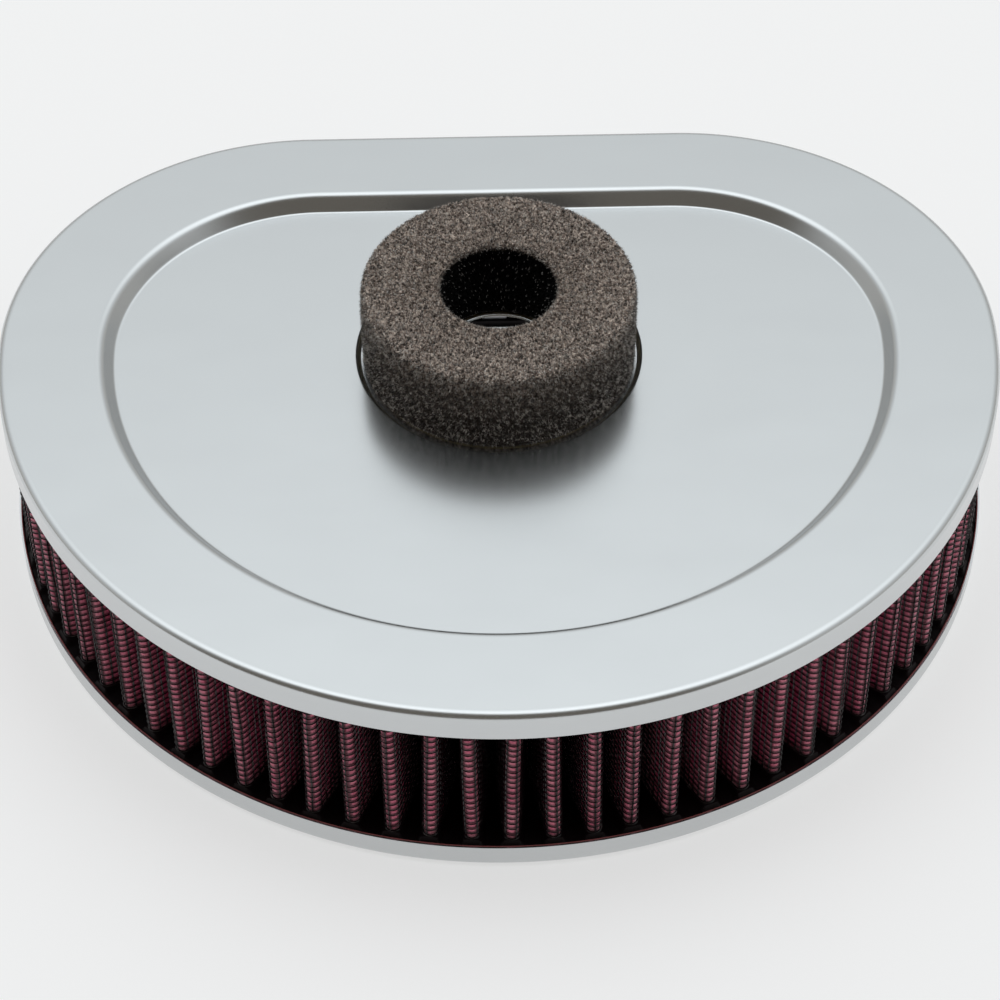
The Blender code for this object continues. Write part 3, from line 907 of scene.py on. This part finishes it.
masks = {
    # pore: painted shade in the pits of the cut cells, darkest at the middle of each cell.
    "pore": np.clip(pit * 2.5 + fine * 0.5 - 0.5 * ragged, 0, 1),
    # bore: painted shade inside the bore, nearly black below its top edge.
    "bore": np.clip(-out_r * 1.6, 0, 1) * np.clip(below_top / 1.5, 0, 1),
    # foot: painted shade down the outer side of the foam, darker towards its foot, so that the side is darker
    # than the top.
    "foot": 0.9 * np.clip(out_r, 0, 1) * np.clip(below_top / 14.0, 0, 1) ** 0.45,
    # Painted glints: a few random points coloured near white, as sparkle on the struts.
    "painted_glint": np.clip((ragged - 0.988) * 200, 0, 1),
}
for key, mask in masks.items():
    keep_mask(foam, key, np.broadcast_to(mask, pit.shape))

foam_material, tree, shader = principled("open_cell_foam", STRUT_DULL, 0.6, specular_ior_level=0.08)
speckle = place(tree, mottle, patch=1500.0, grain=2600.0)
foam_colour = tint(tree, ramp(tree, speckle.outputs["Patches"], 0.38, 0.66), STRUT_DULL, STRUT_PALE)
# Painted shade in the pits, down the side and inside the bore, and painted glints, laid over the foam's own
# colour.
for key, colour in (("foot", FOAM_PAINTED_SHADE), ("pore", FOAM_PAINTED_SHADE), ("bore", BORE_PAINTED_SHADE), ("painted_glint", STRUT_PAINTED_GLINT)):
    foam_colour = laid_over(tree, foam_colour, read_mask(tree, key), colour)
tree.links.new(foam_colour, shader.inputs["Base Color"])
relief(tree, shader, speckle.outputs["Grains"], 0.0002)
finish_piece(foam, foam_material, "grey_foam", "foam_ring")

STRUT_COUNT = 48000
STRUT_LENGTH = 0.95
STRUT_RADIUS = 0.09
STRUT_ROOT = 0.3


def cut_struts(count):
    """Loose ends of cut struts: closed three-sided spikes that lean every way from the foam's skin.

    Each stands on a random place of the skin. With w the way it leans, and a and b square to w, its foot
    is centre + radius (cos t a + sin t b) at three angles, and its tip is centre + length w.
    """
    picks = np.random.default_rng(17)
    outside = np.flatnonzero((out_r[:, 0] > 0.05) | (out_z[:, 0] > 0.05))
    weights = radius[outside, 0] / radius[outside, 0].sum()
    row = picks.choice(outside, count, p=weights)
    column = picks.integers(0, FOAM_POINTS, count)
    way = outward[row, column] + picks.normal(0, 0.55, (count, 3))
    way /= np.linalg.norm(way, axis=1)[:, None]
    across = np.cross(way, picks.normal(0, 1, (count, 3)))
    across /= np.linalg.norm(across, axis=1)[:, None]
    beside = np.cross(way, across)
    angle = 2 * np.pi * np.arange(3)[None, :, None] / 3
    foot = across[:, None] * np.cos(angle) + beside[:, None] * np.sin(angle)
    centre = skin[row, column] - way * STRUT_ROOT
    length = picks.uniform(0.3, STRUT_LENGTH, (count, 1)) * (1 - 0.5 * np.abs(out_z[row]))
    tip = centre + way * (length + STRUT_ROOT)
    points = np.concatenate([centre[:, None] + STRUT_RADIUS * foot, tip[:, None]], axis=1)
    first = 4 * np.arange(count)[:, None, None]
    faces = first + np.array([[0, 1, 3], [1, 2, 3], [2, 0, 3], [2, 1, 0]])
    return mesh_object("foam_cut_struts", points.reshape(-1, 3), faces.reshape(-1, 3).tolist())


struts = cut_struts(STRUT_COUNT)
strut_material, tree, shader = principled(
    "cut_foam_struts", (0.2, 0.175, 0.16), 0.55, specular_ior_level=0.3, sheen_weight=0.6, sheen_roughness=0.4
)
speckle = place(tree, mottle, patch=900.0, grain=2600.0)
bright = ramp(tree, speckle.outputs["Patches"], 0.44, 0.64)
tree.links.new(tint(tree, bright, (0.015, 0.012, 0.01), (0.7, 0.65, 0.6)), shader.inputs["Base Color"])
finish_piece(struts, strut_material, "grey_foam", "foam_ring")

# Stage: a plain pale floor, a soft bright sky like a studio tent that is open and dark on the camera's
# side, and the camera.

FLOOR_HALF = 3000.0
FLOOR_DROP = 0.05
FLOOR_PALE = (0.45, 0.45, 0.45)
FLOOR_GLOW = 0.52
SKY_STRENGTH = 2.5
SKY_LOW = np.array([1.03, 1.0, 0.94])
SKY_HIGH = np.array([0.96, 1.0, 1.02])
SKY_BANDS = [(0.0, 0.45), (0.45, 0.66), (0.66, 0.84), (0.76, 1.15), (0.87, 1.45), (1.0, 1.75)]
DARK_SIDE = np.array([0.15, 0.135, 0.115])
DARK_WAY = Vector((-0.16, -0.93, 0.32))
CAMERA_TARGET = Vector((0.0, 16.41, 0.6)) * MM
CAMERA_DISTANCE = 758.87 * MM
CAMERA_ELEVATION = math.radians(46.613)
CAMERA_AZIMUTH = math.radians(-1.182)
CAMERA_ROLL = math.radians(0.299)
CAMERA_LENS = 110.96

corners = np.array([[-1, -1, 0], [1, -1, 0], [1, 1, 0], [-1, 1, 0]], float) * FLOOR_HALF - [0, 0, FLOOR_DROP]
floor = mesh_object("floor", corners, [(0, 1, 2, 3)])
floor_material, tree, shader = principled("floor_paper", FLOOR_PALE, 0.8, emission_strength=FLOOR_GLOW)
shader.inputs["Emission Color"].default_value = (1.0, 1.0, 1.0, 1.0)
floor.data.materials.append(floor_material)

world = bpy.data.worlds.new("studio")
bpy.context.scene.world = world
world.use_nodes = True
tree = world.node_tree
background = tree.nodes["Background"]
background.inputs["Strength"].default_value = SKY_STRENGTH
direction = node(tree, "ShaderNodeTexCoord").outputs["Generated"]
height = node(tree, "ShaderNodeSeparateXYZ", {0: direction}).outputs[2]
sky = node(tree, "ShaderNodeValToRGB", {0: height})
sky.color_ramp.interpolation = "B_SPLINE"
for index, (at, bright) in enumerate(SKY_BANDS):
    stops = sky.color_ramp.elements
    stop = stops[index] if index < 2 else stops.new(at)
    stop.position = at
    hue = SKY_LOW + (SKY_HIGH - SKY_LOW) * min(at / 0.66, 1.0)
    stop.color = (*(hue * bright / SKY_STRENGTH), 1.0)
facing = node(tree, "ShaderNodeVectorMath", {0: direction, 1: DARK_WAY.normalized()}, operation="DOT_PRODUCT")
dark = ramp(tree, facing.outputs["Value"], 0.3, 0.72, interpolation_type="SMOOTHSTEP")
sky_colour = laid_over(tree, sky.outputs[0], dark, DARK_SIDE / SKY_STRENGTH)
tree.links.new(sky_colour, background.inputs["Color"])

level = math.cos(CAMERA_ELEVATION)
back_x = math.sin(CAMERA_AZIMUTH) * level
back_y = -math.cos(CAMERA_AZIMUTH) * level
back = Vector((back_x, back_y, math.sin(CAMERA_ELEVATION)))
right = Vector((math.cos(CAMERA_AZIMUTH), math.sin(CAMERA_AZIMUTH), 0.0))
up = back.cross(right)
rolled_right = right * math.cos(CAMERA_ROLL) - up * math.sin(CAMERA_ROLL)
rolled_up = right * math.sin(CAMERA_ROLL) + up * math.cos(CAMERA_ROLL)
camera_data = bpy.data.cameras.new("camera")
camera_data.lens = CAMERA_LENS
camera_data.sensor_width = 36.0
camera = bpy.data.objects.new("camera", camera_data)
bpy.context.scene.collection.objects.link(camera)
facing = Matrix((rolled_right, rolled_up, back)).transposed().to_4x4()
camera.matrix_world = Matrix.Translation(CAMERA_TARGET + back * CAMERA_DISTANCE) @ facing
bpy.context.scene.camera = camera
bpy.context.scene.view_settings.view_transform = "Standard"
